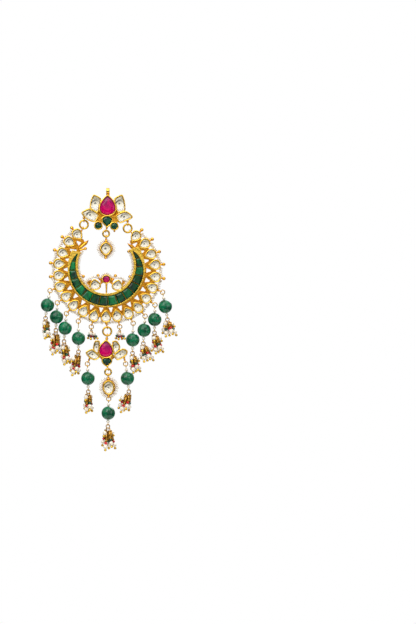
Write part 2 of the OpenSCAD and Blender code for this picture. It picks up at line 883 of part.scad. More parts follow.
module halo_stone() {
    color(clear) upright() cut_stone(halo_outline, stone_top);
}

module pendant_bead_left() drop_bead(pendant_drop(0));
module pendant_bead_right() drop_bead(pendant_drop(1));
module pendant_bead_bottom() drop_bead(pendant_drop(2));

module pendant_drop_rings() {
    color(gold) upright() {
        for (k = [0:2])
            face_ring(pendant_drop(k)[0], jump_r, jump_wire);
    }
}

module pendant_wires() {
    color(gold) upright() {
        for (k = [0:2])
            drop_wire(pendant_drop(k));
    }
}

module pendant_pearls() {
    color("ivory") upright() {
        for (k = [0:2])
            drop_pair(pendant_drop(k));
    }
}

module pendant_tassel(k) {
    tassel(low_eye(pendant_drop(k)), pendant_tassel_chart[k]);
}

module tassel_pendant_left() pendant_tassel(0);
module tassel_pendant_right() pendant_tassel(1);
module tassel_bottom() pendant_tassel(2);

lotus_frame();
ear_post();
lotus_ruby();
lotus_petals();
lotus_leaf();
lotus_cab_left();
lotus_cab_right();
mid_ring();
mid_frame();
mid_stone();
crescent_frame();
fan_stones();
channel_stones();
arch_stone_left();
arch_stone_right();
arch_ruby();
ring_left();
ring_right();
bead_l1();
bead_l2();
bead_l3();
bead_l4();
bead_r1();
bead_r2();
bead_r3();
bead_r4();
drop_rings();
drop_wires();
drop_pearls();
tassel_l1();
tassel_l2();
tassel_l3();
tassel_l4();
tassel_r1();
tassel_r2();
tassel_r3();
tassel_r4();
tassel_inner_left();
tassel_inner_right();
pendant_ring();
pendant_frame();
pendant_ruby();
pendant_petals();
pendant_leaf();
lower_ring();
halo_frame();
halo_stone();
pendant_bead_left();
pendant_bead_right();
pendant_bead_bottom();
pendant_drop_rings();
pendant_wires();
pendant_pearls();
tassel_pendant_left();
tassel_pendant_right();
tassel_bottom();
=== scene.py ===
import bpy
import math
import random
from mathutils import Matrix, Vector


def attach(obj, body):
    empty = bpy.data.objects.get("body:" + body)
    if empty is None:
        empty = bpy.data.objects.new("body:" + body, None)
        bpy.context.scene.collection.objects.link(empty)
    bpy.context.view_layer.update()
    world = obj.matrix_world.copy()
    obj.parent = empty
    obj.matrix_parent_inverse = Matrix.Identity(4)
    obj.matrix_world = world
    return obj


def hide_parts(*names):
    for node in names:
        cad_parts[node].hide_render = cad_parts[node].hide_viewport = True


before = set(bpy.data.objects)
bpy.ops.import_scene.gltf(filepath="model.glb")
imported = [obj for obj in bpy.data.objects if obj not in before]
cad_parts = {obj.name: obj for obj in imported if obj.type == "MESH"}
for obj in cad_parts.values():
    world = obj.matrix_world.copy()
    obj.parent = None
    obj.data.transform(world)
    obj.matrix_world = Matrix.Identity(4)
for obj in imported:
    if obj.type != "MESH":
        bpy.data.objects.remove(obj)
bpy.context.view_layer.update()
mm = 0.001
midDepth = 1.2  # rings and wires hang this far in front of the rear face, in mm
print("frame loaded")


def clearSelection():
    bpy.ops.object.select_all(action="DESELECT")


def place(x, up, depth=midDepth):
    return Vector((x, -depth, up)) * mm  # a point of the front drawing, in mm


def along(start, end, scale=(1, 1, 1)):
    # local +Z runs from start towards end
    turn = (end - start).to_track_quat("Z", "Y").to_matrix().to_4x4()
    return Matrix.Translation(start) @ turn @ Matrix.Diagonal((*scale, 1))


def faceOn(at):
    return Matrix.Translation(at) @ Matrix.Rotation(math.radians(90), 4, "X")


def edgeOn(at):
    # the ring's plane holds the upright of the drawing and the depth
    tilt = Matrix.Rotation(math.radians(90), 4, "Z")
    stand = Matrix.Rotation(math.radians(90), 4, "X")
    return Matrix.Translation(at) @ stand @ tilt @ stand


def stamp(template, matrix):
    copy = template.copy()
    copy.data = template.data.copy()
    copy.data.transform(matrix)
    bpy.context.collection.objects.link(copy)
    return copy


def joined(parts, name, body, replacing=()):
    clearSelection()
    for part in parts:
        part.select_set(True)
    bpy.context.view_layer.objects.active = parts[0]
    if len(parts) > 1:
        bpy.ops.object.join()
    piece = bpy.context.view_layer.objects.active
    piece.name = name
    piece.data.name = name
    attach(piece, body)
    if replacing:
        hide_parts(*replacing)
    return piece


def dressed(piece, material):
    piece.data.materials.clear()
    piece.data.materials.append(material)
    return piece


def smoothed(piece, on=True):
    for face in piece.data.polygons:
        face.use_smooth = on
    return piece


# The crescent's fan, shared by several pieces: turn from straight down, reach from its centre, mm
crescentCentre = Vector((-0.54, -28.1))
fanChart = [
    (-139.5, 19.9), (-125.5, 20.3), (-109.5, 20.6), (-95.5, 21.1), (-81.5, 21.3),
    (-68.5, 22.0), (-55.0, 21.7), (-41.5, 21.9), (-28.0, 21.6), (-14.5, 21.9),
    (-0.5, 21.6), (12.8, 21.7), (26.0, 22.2), (39.0, 22.4), (53.0, 22.1),
    (67.0, 22.2), (80.0, 22.1), (94.0, 21.7), (107.5, 20.8), (122.5, 20.3), (137.5, 19.4),
]


def turned(degrees, reach):
    return Vector((math.sin(math.radians(degrees)), -math.cos(math.radians(degrees)))) * reach


def fanPoint(index, out):
    turn, reach = fanChart[index]
    return crescentCentre + turned(turn, reach + out)


# Outlines in the drawing's plane, anticlockwise, mm
def dropOutline(length, width, count, at=(0, 0), turn=0):
    # the tip points up; widest is the curve's own half width before it is scaled
    sharpness, widest = 0.8, 0.803
    c, s = math.cos(math.radians(turn)), math.sin(math.radians(turn))
    points = []
    for k in range(count):
        t = 2 * math.pi * k / count
        x = -width / 2 * math.sin(t) * math.sin(t / 2) ** sharpness / widest
        y = length / 2 * math.cos(t)
        points.append(Vector((at[0] + x * c - y * s, at[1] + x * s + y * c)))
    return points


def roundOutline(radius, count, at=(0, 0), square=0.0):
    # square draws the circle out to four soft corners
    points = []
    for k in range(count):
        a = 2 * math.pi * k / count
        r = radius * (1 + square * math.cos(4 * a))
        points.append(Vector((at[0] + r * math.cos(a), at[1] + r * math.sin(a))))
    return points


def stretched(outline, across, up):
    mid = sum(outline, Vector((0, 0))) / len(outline)
    return [Vector((mid.x + (p.x - mid.x) * across, mid.y + (p.y - mid.y) * up)) for p in outline]


def normalsOf(points):
    # each is as long as keeps an inset even at its corner, up to a limit at sharp ones
    sharpest = 0.5
    normals = []
    for i, point in enumerate(points):
        before, after = point - points[i - 1], points[(i + 1) % len(points)] - point
        first = Vector((before.y, -before.x)).normalized()
        second = Vector((after.y, -after.x)).normalized()
        normals.append((first + second) / max(1 + first.dot(second), sharpest))
    return normals


def inset(points, by):
    return [p - n * by for p, n in zip(points, normalsOf(points))]


def bowedOutline(corners, steps=8):
    # sides bow outwards, and their points keep clear of the corners
    bow, clear = 0.07, 0.35
    points = []
    for i, corner in enumerate(corners):
        a, b = Vector(corner), Vector(corners[(i + 1) % len(corners)])
        side = b - a
        outward = Vector((side.y, -side.x))
        for k in range(steps):
            t = (k + clear) / (steps - 1 + 2 * clear)
            points.append(a + side * t + outward * bow * 4 * t * (1 - t))
    return points


# Shader groups
def newGroup(name, inputs, outputs):
    group = bpy.data.node_groups.new(name, "ShaderNodeTree")
    for label, kind, default in inputs:
        socket = group.interface.new_socket(name=label, in_out="INPUT", socket_type=kind)
        socket.default_value = default
    for label, kind in outputs:
        group.interface.new_socket(name=label, in_out="OUTPUT", socket_type=kind)
    return group, group.nodes.new("NodeGroupInput"), group.nodes.new("NodeGroupOutput")


def mixColours(tree, factor, first, second, blend="MIX"):
    mix = tree.nodes.new("ShaderNodeMix")
    mix.data_type = "RGBA"
    mix.blend_type = blend
    for socket, value in ((0, factor), (6, first), (7, second)):
        if isinstance(value, bpy.types.NodeSocket):
            tree.links.new(value, mix.inputs[socket])
        else:
            mix.inputs[socket].default_value = value
    return mix.outputs[2]


def ramp(tree, source, stops):
    node = tree.nodes.new("ShaderNodeValToRGB")
    tree.links.new(source, node.inputs[0])
    elements = node.color_ramp.elements
    while len(elements) < len(stops):
        elements.new(0.5)
    for element, (position, colour) in zip(elements, stops):
        element.position = position
        element.color = colour
    return node.outputs[0]


def noise(tree, vector, scale, detail=2.0):
    node = tree.nodes.new("ShaderNodeTexNoise")
    node.inputs["Scale"].default_value = scale
    node.inputs["Detail"].default_value = detail
    tree.links.new(vector, node.inputs["Vector"])
    return node.outputs["Fac"]


def grey(value):
    return (value, value, value, 1)


metalPattern = {"cloud": 900, "hammered": 1100, "tarnishFrom": 0.45, "tarnishTo": 0.75, "roughening": 0.22}


def makeWornMetal(pattern):
    # hammered, slightly tarnished metal with painted shade: the set back front is painted in the darker, warmer
    # shade colour, the raised rims and the rear keep the plainer colour; the same darker colour, spread by
    # noise, is the tarnish
    group, given, result = newGroup(
        "wornMetal",
        [("Raised", "NodeSocketColor", (1, 1, 1, 1)), ("ShadeAndTarnish", "NodeSocketColor", (0.5, 0.2, 0, 1)),
         ("Deep Depth", "NodeSocketFloat", -0.0014), ("Raised Depth", "NodeSocketFloat", -0.0022),
         ("Side Depth", "NodeSocketFloat", -0.0008), ("Back Depth", "NodeSocketFloat", -0.0002),
         ("Roughness", "NodeSocketFloat", 0.2), ("Tarnish", "NodeSocketFloat", 0.4)],
        [("Color", "NodeSocketColor"), ("Roughness", "NodeSocketFloat"), ("Height", "NodeSocketFloat")],
    )
    place3d = group.nodes.new("ShaderNodeTexCoord").outputs["Object"]
    split = group.nodes.new("ShaderNodeSeparateXYZ")
    group.links.new(place3d, split.inputs[0])
    level = group.nodes.new("ShaderNodeMapRange")
    group.links.new(split.outputs["Y"], level.inputs["Value"])
    group.links.new(given.outputs["Deep Depth"], level.inputs["From Min"])
    group.links.new(given.outputs["Raised Depth"], level.inputs["From Max"])
    back = group.nodes.new("ShaderNodeMapRange")
    group.links.new(split.outputs["Y"], back.inputs["Value"])
    group.links.new(given.outputs["Side Depth"], back.inputs["From Min"])
    group.links.new(given.outputs["Back Depth"], back.inputs["From Max"])
    # 1 on the raised rims and at the rear, 0 on set back parts, which take the painted shade
    unshadedShare = group.nodes.new("ShaderNodeMath")
    unshadedShare.operation = "MAXIMUM"
    group.links.new(level.outputs[0], unshadedShare.inputs[0])
    group.links.new(back.outputs[0], unshadedShare.inputs[1])
    paintedLightBase = mixColours(group, unshadedShare.outputs[0], given.outputs["ShadeAndTarnish"], given.outputs["Raised"])
    cloud = noise(group, place3d, pattern["cloud"], 3)
    spread = group.nodes.new("ShaderNodeMapRange")
    spread.inputs["From Min"].default_value = pattern["tarnishFrom"]
    spread.inputs["From Max"].default_value = pattern["tarnishTo"]
    group.links.new(cloud, spread.inputs["Value"])
    group.links.new(given.outputs["Tarnish"], spread.inputs["To Max"])
    tarnished = mixColours(group, spread.outputs[0], paintedLightBase, given.outputs["ShadeAndTarnish"])
    group.links.new(tarnished, result.inputs["Color"])
    rough = group.nodes.new("ShaderNodeMath")
    rough.operation = "MULTIPLY_ADD"
    group.links.new(cloud, rough.inputs[0])
    rough.inputs[1].default_value = pattern["roughening"]
    group.links.new(given.outputs["Roughness"], rough.inputs[2])
    group.links.new(rough.outputs[0], result.inputs["Roughness"])
    group.links.new(noise(group, place3d, pattern["hammered"], 2), result.inputs["Height"])
    return group


mottlePattern = {"detail": 4, "distortion": 0.6, "darkTo": 0.34, "lightFrom": 0.66}


def makeMottle(pattern):
    # cloudy two tone stone
    group, given, result = newGroup(
        "mottledStone",
        [("Light", "NodeSocketColor", (0, 1, 0, 1)), ("Dark", "NodeSocketColor", (0, 0.2, 0, 1)),
         ("Scale", "NodeSocketFloat", 400.0)],
        [("Color", "NodeSocketColor"), ("Height", "NodeSocketFloat")],
    )
    place3d = group.nodes.new("ShaderNodeTexCoord").outputs["Object"]
    cloud = group.nodes.new("ShaderNodeTexNoise")
    cloud.inputs["Detail"].default_value = pattern["detail"]
    cloud.inputs["Distortion"].default_value = pattern["distortion"]
    group.links.new(place3d, cloud.inputs["Vector"])
    group.links.new(given.outputs["Scale"], cloud.inputs["Scale"])
    spread = group.nodes.new("ShaderNodeMapRange")
    spread.inputs["From Min"].default_value = pattern["darkTo"]
    spread.inputs["From Max"].default_value = pattern["lightFrom"]
    group.links.new(cloud.outputs["Fac"], spread.inputs["Value"])
    mixed = mixColours(group, spread.outputs[0], given.outputs["Dark"], given.outputs["Light"])
    group.links.new(mixed, result.inputs["Color"])
    group.links.new(cloud.outputs["Fac"], result.inputs["Height"])
    return group


wornMetal = makeWornMetal(metalPattern)
mottledStone = makeMottle(mottlePattern)


def newMaterial(name):
    material = bpy.data.materials.new(name)
    material.use_nodes = True
    tree = material.node_tree
    shader = tree.nodes["Principled BSDF"]
    return material, tree, shader


def addBump(tree, shader, height, strength, distance, edge=0.0):
    bump = tree.nodes.new("ShaderNodeBump")
    bump.inputs["Strength"].default_value = strength
    bump.inputs["Distance"].default_value = distance
    tree.links.new(height, bump.inputs["Height"])
    if edge:
        soft = tree.nodes.new("ShaderNodeBevel")
        soft.samples = 6
        soft.inputs["Radius"].default_value = edge
        tree.links.new(soft.outputs[0], bump.inputs["Normal"])
    tree.links.new(bump.outputs[0], shader.inputs["Normal"])


def makeMetal(name, look):
    material, tree, shader = newMaterial(name)
    group = tree.nodes.new("ShaderNodeGroup")
    group.node_tree = wornMetal
    for socket in group.inputs:
        socket.default_value = look[socket.name]
    tree.links.new(group.outputs["Color"], shader.inputs["Base Color"])
    tree.links.new(group.outputs["Roughness"], shader.inputs["Roughness"])
    shader.inputs["Metallic"].default_value = 1
    shader.inputs["Specular Tint"].default_value = look["Grazing"]
    addBump(tree, shader, group.outputs["Height"], look["Bump"], look["Bump Depth"], look["Edge"])
    return material


# each metal look's darker colour is the painted shade of set back parts and also the tarnish colour
goldLook = {
    "Raised": (0.97, 0.64, 0.09, 1), "ShadeAndTarnish": (0.68, 0.25, 0.01, 1), "Grazing": (0.45, 0.2, 0.03, 1),
    "Raised Depth": -0.0021, "Deep Depth": -0.0014, "Side Depth": -0.0008, "Back Depth": -0.0002,
    "Roughness": 0.1, "Tarnish": 0.45, "Bump": 0.5, "Bump Depth": 0.00025, "Edge": 0.00012,
}
gold = makeMetal("yellowGold", goldLook)
wireGold = makeMetal("wireGold", dict(
    goldLook, Raised=(0.85, 0.55, 0.05, 1), ShadeAndTarnish=(0.62, 0.37, 0.03, 1), Tarnish=0.5, Edge=0))
antique = makeMetal("antiqueGold", dict(
    goldLook, Raised=(0.6, 0.33, 0.06, 1), ShadeAndTarnish=(0.17, 0.07, 0.01, 1), Roughness=0.2, Tarnish=0.9, Edge=0,
    **{"Raised Depth": -0.003, "Deep Depth": 0.002, "Side Depth": 1, "Back Depth": 2}))
steel = makeMetal("plainSteel", dict(
    goldLook, Raised=(0.75, 0.73, 0.68, 1), ShadeAndTarnish=(0.55, 0.52, 0.46, 1), Tarnish=0.2,
    Grazing=(0.9, 0.9, 0.9, 1)))


def localMap(tree):
    # the stone's own map: across in u, up in v, both from 0 to 1
    map2d = tree.nodes.new("ShaderNodeUVMap")
    map2d.uv_map = "stoneMap"
    return map2d.outputs[0]


def ringMask(tree, where, shape):
    # 1 inside the ring, or the disc, round a point of the stone's map
    centre, inner, outer, soft = shape
    distance = tree.nodes.new("ShaderNodeVectorMath")
    distance.operation = "DISTANCE"
    tree.links.new(where, distance.inputs[0])
    distance.inputs[1].default_value = (centre[0], centre[1], 0)
    return ramp(tree, distance.outputs["Value"], [
        (max(inner - soft, 0.0), grey(0 if inner > 0 else 1)), (max(inner, 0.001), grey(1)),
        (outer, grey(1)), (outer + soft, grey(0))])


# places on the stone's map, from 0 to 1; a ring is its centre, inner and outer radius, and soft edge
# the clear stone's ramp paints light below and shade above; its arc and spot paint dark reflections
polkiLook = {
    "paintedLightRamp": ((0.2, (0.97, 0.96, 0.91, 1)), (0.5, (0.8, 0.75, 0.6, 1)), (0.88, (0.32, 0.28, 0.18, 1))),
    "cloud": 620, "shake": (0.16, 0.1, 0),
    "arc": ((0.6, 0.48), 0.25, 0.33, 0.03), "paintedArcReflection": (0.02, 0.02, 0.025, 1),
    "arcAbove": ((0.46, grey(0)), (0.62, grey(1))), "arcLeft": ((0.3, grey(1)), (0.85, grey(0.25))),
    "spot": ((0.56, 0.56), 0, 0.05, 0.03), "paintedSpotReflection": (0.12, 0.11, 0.09, 1),
    "roughness": 0.06, "coat": 0.5, "coatRoughness": 0.02, "bending": 1.6,
}


def makePolki(look):
    # flat cut clear stone over silver foil, with painted reflections: painted white light below that darkens
    # towards the top, a painted dark arc above and a painted dark spot near the middle
    material, tree, shader = newMaterial("foiledClearStone")
    where = localMap(tree)
    cloud = noise(tree, tree.nodes.new("ShaderNodeTexCoord").outputs["Object"], look["cloud"], 2)
    shaken = tree.nodes.new("ShaderNodeVectorMath")
    shaken.operation = "MULTIPLY_ADD"
    tree.links.new(cloud, shaken.inputs[0])
    shaken.inputs[1].default_value = look["shake"]
    tree.links.new(where, shaken.inputs[2])
    split = tree.nodes.new("ShaderNodeSeparateXYZ")
    tree.links.new(shaken.outputs[0], split.inputs[0])
    paintedLightBase = ramp(tree, split.outputs["Y"], look["paintedLightRamp"])
    arc = ringMask(tree, shaken.outputs[0], look["arc"])
    above = ramp(tree, split.outputs["Y"], look["arcAbove"])
    left = ramp(tree, split.outputs["X"], look["arcLeft"])
    part = mixColours(tree, 1.0, arc, above, "MULTIPLY")
    mask = mixColours(tree, 1.0, part, left, "MULTIPLY")
    toned = mixColours(tree, mask, paintedLightBase, look["paintedArcReflection"])
    spot = ringMask(tree, shaken.outputs[0], look["spot"])
    tree.links.new(mixColours(tree, spot, toned, look["paintedSpotReflection"]), shader.inputs["Base Color"])
    shader.inputs["Roughness"].default_value = look["roughness"]
    shader.inputs["Coat Weight"].default_value = look["coat"]
    shader.inputs["Coat Roughness"].default_value = look["coatRoughness"]
    shader.inputs["IOR"].default_value = look["bending"]
    return material


# the ruby's ramp paints light below and a pale highlight at the tip, its rim colour paints shade, and its flash
# paints glints
rubyGlow = {
    "paintedLightRamp": (
        (0.05, (0.68, 0.0, 0.1, 1)), (0.4, (0.4, 0.0, 0.09, 1)),
        (0.68, (0.22, 0.0, 0.075, 1)), (0.95, (0.36, 0.1, 0.2, 1))),
    "middle": ((0.5, 0.44), 0, 0.34, 0.12), "paintedRimShade": (0.14, 0.01, 0.06, 1),
    "cloud": 700, "flash": ((0.52, grey(0)), (0.66, grey(0.5))), "flashColour": (0.8, 0.0, 0.14, 1),
    "roughness": 0.15, "specular": 0.2, "coat": 0.15, "coatRoughness": 0.03,
}


def makeRuby(look):
    # foiled red stone with painted light and shade: painted bright light below, a paler painted highlight at
    # the tip, painted shade round the rim, and painted glints where the noise is high
    material, tree, shader = newMaterial("foiledRuby")
    where = localMap(tree)
    split = tree.nodes.new("ShaderNodeSeparateXYZ")
    tree.links.new(where, split.inputs[0])
    body = ramp(tree, split.outputs["Y"], look["paintedLightRamp"])
    middle = ringMask(tree, where, look["middle"])
    toned = mixColours(tree, middle, look["paintedRimShade"], body)
    cloud = noise(tree, tree.nodes.new("ShaderNodeTexCoord").outputs["Object"], look["cloud"], 3)
    # painted glints of brighter red where the noise is high
    flash = ramp(tree, cloud, look["flash"])
    tree.links.new(mixColours(tree, flash, toned, look["flashColour"]), shader.inputs["Base Color"])
    shader.inputs["Roughness"].default_value = look["roughness"]
    shader.inputs["Specular IOR Level"].default_value = look["specular"]
    shader.inputs["Coat Weight"].default_value = look["coat"]
    shader.inputs["Coat Roughness"].default_value = look["coatRoughness"]
    return material


def makeMottled(name, look):
    # where a look is toned, each stone's own grey darkens it
    bumpDepth, coatRoughness = 0.0001, 0.05
    material, tree, shader = newMaterial(name)
    group = tree.nodes.new("ShaderNodeGroup")
    group.node_tree = mottledStone
    for socket in group.inputs:
        socket.default_value = look[socket.name]
    colour = group.outputs["Color"]
    if look.get("Toned"):
        tone = tree.nodes.new("ShaderNodeAttribute")
        tone.attribute_name = "stoneTone"
        colour = mixColours(tree, 1.0, colour, tone.outputs["Color"], "MULTIPLY")
    tree.links.new(colour, shader.inputs["Base Color"])
    addBump(tree, shader, group.outputs["Height"], look["Bump"], bumpDepth)
    shader.inputs["Roughness"].default_value = look["Roughness"]
    shader.inputs["Specular IOR Level"].default_value = look.get("Specular", 0.3)
    shader.inputs["Coat Weight"].default_value = look["Coat"]
    shader.inputs["Coat Roughness"].default_value = coatRoughness
    return material


polki = makePolki(polkiLook)
rubyRed = makeRuby(rubyGlow)
emerald = makeMottled("foiledEmerald", {
    "Light": (0.0, 0.21, 0.05, 1), "Dark": (0.0, 0.026, 0.014, 1), "Scale": 260.0,
    "Roughness": 0.1, "Coat": 0.1, "Bump": 0.05, "Specular": 0.25, "Toned": True})
jade = makeMottled("greenBead", {
    "Light": (0.002, 0.165, 0.064, 1), "Dark": (0.0, 0.05, 0.022, 1), "Scale": 420.0,
    "Roughness": 0.2, "Coat": 0.2, "Bump": 0.1, "Specular": 0.3})
cabochonGreen = makeMottled("greenCabochon", {
    "Light": (0.0, 0.09, 0.04, 1), "Dark": (0.0, 0.012, 0.009, 1), "Scale": 300.0,
    "Roughness": 0.12, "Coat": 0.12, "Bump": 0.05})
pearl = makeMottled("pearl", {
    "Light": (0.87, 0.82, 0.72, 1), "Dark": (0.72, 0.62, 0.47, 1), "Scale": 700.0,
    "Roughness": 0.28, "Coat": 0.7, "Bump": 0.12, "Specular": 0.6})
# a darker copy of the pearl colours: painted shade on the seed pearls
shadedStrungPearl = makeMottled("shadedStrungPearl", {
    "Light": (0.84, 0.77, 0.65, 1), "Dark": (0.58, 0.48, 0.36, 1), "Scale": 1100.0,
    "Roughness": 0.3, "Coat": 0.5, "Bump": 0.12, "Specular": 0.5})
redSeed = makeMottled("redSeedBead", {
    "Light": (0.75, 0.0, 0.0, 1), "Dark": (0.34, 0.0, 0.004, 1), "Scale": 900.0,
    "Roughness": 0.15, "Coat": 0.5, "Bump": 0.05})
darkRedSeed = makeMottled("darkRedSeedBead", {
    "Light": (0.2, 0.0, 0.015, 1), "Dark": (0.09, 0.0, 0.006, 1), "Scale": 900.0,
    "Roughness": 0.15, "Coat": 0.5, "Bump": 0.05})
greenSeed = makeMottled("greenSeedBead", {
    "Light": (0.0, 0.1, 0.04, 1), "Dark": (0.0, 0.03, 0.015, 1), "Scale": 900.0,
    "Roughness": 0.15, "Coat": 0.5, "Bump": 0.05})
print("materials made")


# Templates, each modelled once and stamped where it is needed
def newTorus(radius, wire, steps=40, wireSteps=10):
    clearSelection()
    bpy.ops.mesh.primitive_torus_add(
        major_radius=radius * mm, minor_radius=wire * mm, major_segments=steps, minor_segments=wireSteps)
    return smoothed(bpy.context.object)


def newBall(radius, sides=16, rows=10, smooth=True):
    clearSelection()
    bpy.ops.mesh.primitive_uv_sphere_add(radius=radius * mm, segments=sides, ring_count=rows)
    return smoothed(bpy.context.object, smooth)


def newRod(radius, sides=8):
    clearSelection()
    bpy.ops.mesh.primitive_cylinder_add(
        radius=radius * mm, depth=mm, vertices=sides, location=(0, 0, mm / 2))
    bpy.ops.object.transform_apply(location=True, rotation=True, scale=True)
    return smoothed(bpy.context.object)


def editAll(work):
    bpy.ops.object.mode_set(mode="EDIT")
    bpy.ops.mesh.select_all(action="SELECT")
    work()
    bpy.ops.object.mode_set(mode="OBJECT")


def newLip(outline, wire, depth, wireSteps=8):
    # a rounded rim that follows an outline: a torus whose rings are moved along it
    lip = newTorus(1, wire, len(outline), wireSteps)
    vertices = lip.data.vertices
    for i, (point, normal) in enumerate(zip(outline, normalsOf(outline))):
        outward = normal.normalized()
        for k in range(wireSteps):
            a = 2 * math.pi * k / wireSteps
            spot = point + outward * wire * math.cos(a)
            vertices[i * wireSteps + k].co = place(spot.x, spot.y, depth + wire * math.sin(a))
    clearSelection()
    lip.select_set(True)
    bpy.context.view_layer.objects.active = lip
    editAll(lambda: bpy.ops.mesh.normals_make_consistent(inside=False))
    return lip


def newStone(outline, low, girdle, tiers):
    # a girdle, then sloped rows of facets up to a flat table; a tier is its width share and its rise
    centre = middleOf(outline)
    clearSelection()
    bpy.ops.mesh.primitive_circle_add(vertices=len(outline), fill_type="NGON")
    stone = bpy.context.object
    for vertex, point in zip(stone.data.vertices, outline):
        vertex.co = place(point.x, point.y, low)

    def cut():
        bpy.ops.mesh.extrude_region_move(TRANSFORM_OT_translate={"value": (0, (low - girdle) * mm, 0)})
        for share, rise in tiers:
            bpy.ops.mesh.extrude_region_move(TRANSFORM_OT_translate={"value": (0, -rise * mm, 0)})
            bpy.ops.transform.resize(value=(share, 1, share), center_override=place(*centre, girdle))
        bpy.ops.mesh.select_all(action="SELECT")
        bpy.ops.mesh.normals_make_consistent(inside=False)
        bpy.ops.mesh.quads_convert_to_tris()

    editAll(cut)
    return stone


def middleOf(outline):
    xs, ys = [p.x for p in outline], [p.y for p in outline]
    return ((min(xs) + max(xs)) / 2, (min(ys) + max(ys)) / 2)


def mapStone(stone, centre, span):
    # lays the stone's own upright map, from 0 to 1 across its span
    layer = stone.data.uv_layers.get("stoneMap") or stone.data.uv_layers.new(name="stoneMap")
    stone.data.uv_layers.active = layer
    for loop in stone.data.loops:
        at = stone.data.vertices[loop.vertex_index].co / mm
        layer.data[loop.index].uv = (0.5 + (at.x - centre[0]) / span, 0.5 + (at.z - centre[1]) / span)
    return stone


def toneStone(stone, value):
    layer = stone.data.color_attributes.new(name="stoneTone", type="BYTE_COLOR", domain="CORNER")
    for corner in layer.data:
        corner.color = value
    return stone


def discard(*templates):
    for template in templates:
        bpy.data.objects.remove(template)


def repaint(material, *nodes):
    for name in nodes:
        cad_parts[name].material_slots[0].material = material


# Carried over metal
repaint(gold, "lotus_frame", "mid_frame", "crescent_frame", "pendant_frame", "halo_frame")
repaint(wireGold, "drop_wires", "pendant_wires")
repaint(steel, "ear_post")

ball = newBall(1, 16, 10)
rod = newRod(1, 8)
dressed(ball, gold)
dressed(rod, wireGold)


def ballAt(at, radius, material=None, stretch=1.0, axis=None):
    matrix = Matrix.Translation(at)
    if axis is not None:
        matrix = matrix @ axis.to_track_quat("Z", "Y").to_matrix().to_4x4()
    piece = stamp(ball, matrix @ Matrix.Diagonal((radius, radius, radius * stretch, 1)))
    return dressed(piece, material) if material else piece


def rodBetween(start, end, radius):
    return stamp(rod, along(start, end, (radius, radius, (end - start).length / mm)))


# Rings: a gauge is the radius of the ring and of its wire
rings = {
    "gauges": {"side": (1.85, 0.41), "hung": (1.9, 0.41), "small": (1.4, 0.4), "jump": (1.0, 0.2)},
    "single": (
        ("sideRingLeft", "ring_left", "crescent", "side", (-10.64, -8.4)),
        ("sideRingRight", "ring_right", "crescent", "side", (9.0, -10.1)),
        ("midRing", "mid_ring", "ear", "small", (-0.7, -12.5)),
        ("pendantRing", "pendant_ring", "pendant", "hung", (-0.2, -56.4)),
        ("lowerRing", "lower_ring", "pendant", "small", (0.2, -74.65)),
    ),
}
# Strung beads: the fan stone or the point they hang from, and the middle of the bead
drops = {
    "ringOut": 5.2,
    "crescent": (
        (5, -27.0, -44.6), (6, -22.95, -49.9), (7, -19.1, -54.95), (8, -13.1, -59.5),
        (15, 25.9, -45.2), (14, 21.15, -51.0), (13, 16.4, -55.85), (12, 11.3, -60.2),
    ),
    "names": ("l1", "l2", "l3", "l4", "r1", "r2", "r3", "r4"),
    "pendant": (((-9.05, -71.0), (-8.85, -77.5)), ((8.1, -71.0), (8.9, -77.5)), ((0.5, -86.7), (0.3, -93.1))),
}
# the stones of the fan from first to last carry small rings, but not the middle one
firstHung, lastHung, middleStone = 5, 15, 10


def ringPiece(name, node, body, gauge, at):
    ring = newTorus(*rings["gauges"][gauge], 48, 12)
    ring.data.transform(faceOn(place(*at)))
    return joined([dressed(ring, wireGold)], name, body, [node])


def fanRing(index):
    return fanPoint(index, drops["ringOut"])


for row in rings["single"]:
    ringPiece(*row)
jump = dressed(newTorus(*rings["gauges"]["jump"], 28, 8), wireGold)
hungFrom = [i for i in range(firstHung, lastHung + 1) if i != middleStone]
joined([stamp(jump, faceOn(place(*fanRing(i)))) for i in hungFrom],
       "smallRings", "crescent", ["drop_rings"])
joined([stamp(jump, faceOn(place(*at))) for at, _ in drops["pendant"]],
       "pendantSmallRings", "pendant", ["pendant_drop_rings"])
discard(jump)
print("rings made")

# Clear drop stones and their rims
fanLook = {
    "length": 4.58, "width": 3.78, "steps": 24, "low": 1.06, "girdle": 1.95,
    "tiers": ((0.82, 0.36), (0.8, 0.14)), "rim": 0.27, "rimDepth": 2.15, "rimOut": 0.5, "rimSteps": 36,
    "span": 5.2,
}


def clearStone(outline, look):
    return dressed(newStone(outline, look["low"], look["girdle"], look["tiers"]), polki)


def fanStones(look):
    stone = clearStone(dropOutline(look["length"], look["width"], look["steps"]), look)
    stones = []
    for turn, reach in fanChart:
        at = crescentCentre + turned(turn, reach)
        spin = Matrix.Rotation(-math.radians(turn), 4, "Y")
        stones.append(mapStone(stamp(stone, Matrix.Translation(place(*at, 0)) @ spin), at, look["span"]))
    discard(stone)
    return joined(stones, "fanStones", "crescent", ["fan_stones"])


def fanRims(look):
    rims = []
    for turn, reach in fanChart:
        at = crescentCentre + turned(turn, reach)
        outline = dropOutline(
            look["length"] + look["rimOut"], look["width"] + look["rimOut"], look["rimSteps"], at, turn)
        rims.append(dressed(newLip(outline, look["rim"], look["rimDepth"]), gold))
    return joined(rims, "fanRims", "crescent")


# Round tips of the prongs, free or with a small ring, as reach and radius, and a ridge along each horn
prongLook = {
    "free": (4.1, 0.78), "hung": (2.9, 0.62), "innerRadius": 0.72,
    "inner": ((-10.9, -31.7), (10.0, -31.9), (-10.0, -19.2), (9.5, -20.5), (-4.3, -31.3), (3.5, -31.4)),
    "ridges": (((-13.4, -19.8), (-8.9, -15.8)), ((13.4, -20.7), (9.0, -16.9))), "ridgeRadius": 0.6,
}


